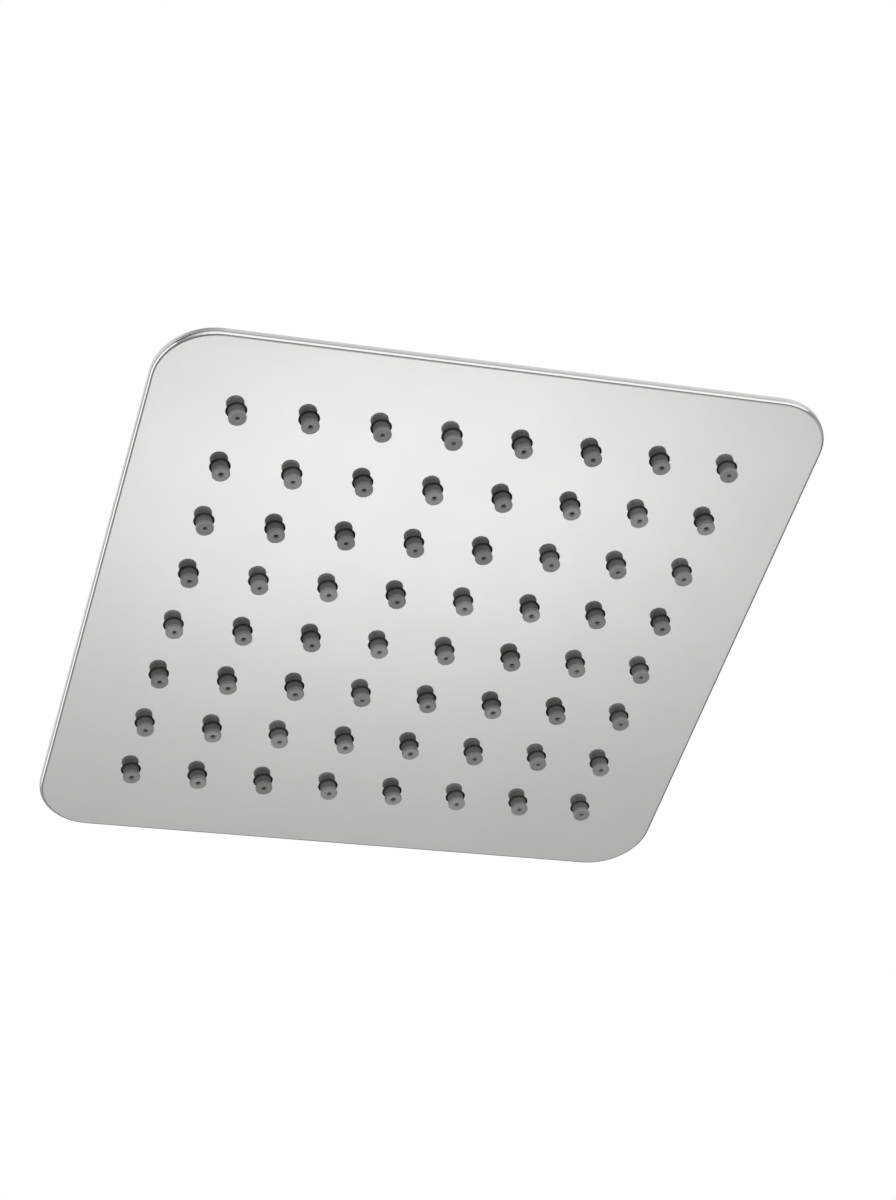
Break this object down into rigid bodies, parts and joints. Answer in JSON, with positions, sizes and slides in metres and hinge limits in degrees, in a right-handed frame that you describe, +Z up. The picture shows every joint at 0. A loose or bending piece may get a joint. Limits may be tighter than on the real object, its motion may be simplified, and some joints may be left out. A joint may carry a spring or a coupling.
{
  "type": "rain shower head",
  "caption": "Slim square overhead rain shower head: polished steel face with a grid of soft nozzles, pressed back and a swivelling ball inlet with a threaded socket.",
  "frame": {"origin": "on the inlet axis, in the plane of the nozzle tips", "axes": "+Z up along the inlet axis, away from the spray; +X and +Y along the plate's sides, with the picture's viewer below and on the -Y side"},
  "size_m": [0.2, 0.2, 0.0517],
  "materials": {
    "polished_steel": "mirror polished stainless steel sheet",
    "chromed_brass": "bright chrome plating on turned brass",
    "silicone": "soft matt grey silicone",
    "black_rubber": "matt black rubber",
    "white_plastic": "smooth natural acetal",
    "steel_mesh": "woven stainless wire"
  },
  "bodies": {
    "head": {"face_plate": "polished_steel", "back_plate": "polished_steel", "inlet_boss": "polished_steel", "ball_seal": "black_rubber", "retaining_nut": "chromed_brass", "nozzle_row_1": "silicone", "nozzle_row_2": "silicone", "nozzle_row_3": "silicone", "nozzle_row_4": "silicone", "nozzle_row_5": "silicone", "nozzle_row_6": "silicone", "nozzle_row_7": "silicone", "nozzle_row_8": "silicone"},
    "swivel_ring": {"ball_washer": "white_plastic"},
    "stem": {"ball_stem": "chromed_brass", "inlet_screen": "steel_mesh", "inlet_washer": "black_rubber"}
  },
  "joints": [
    {"name": "swivel_turn", "type": "hinge", "parent": "head", "child": "swivel_ring", "pos_m": [0, 0, 0.022], "axis": [0, 0, 1], "continuous": true},
    {"name": "swivel_tilt", "type": "hinge", "parent": "swivel_ring", "child": "stem", "pos_m": [0, 0, 0.022], "axis": [1, 0, 0], "range_deg": [-15, 15]}
  ]
}
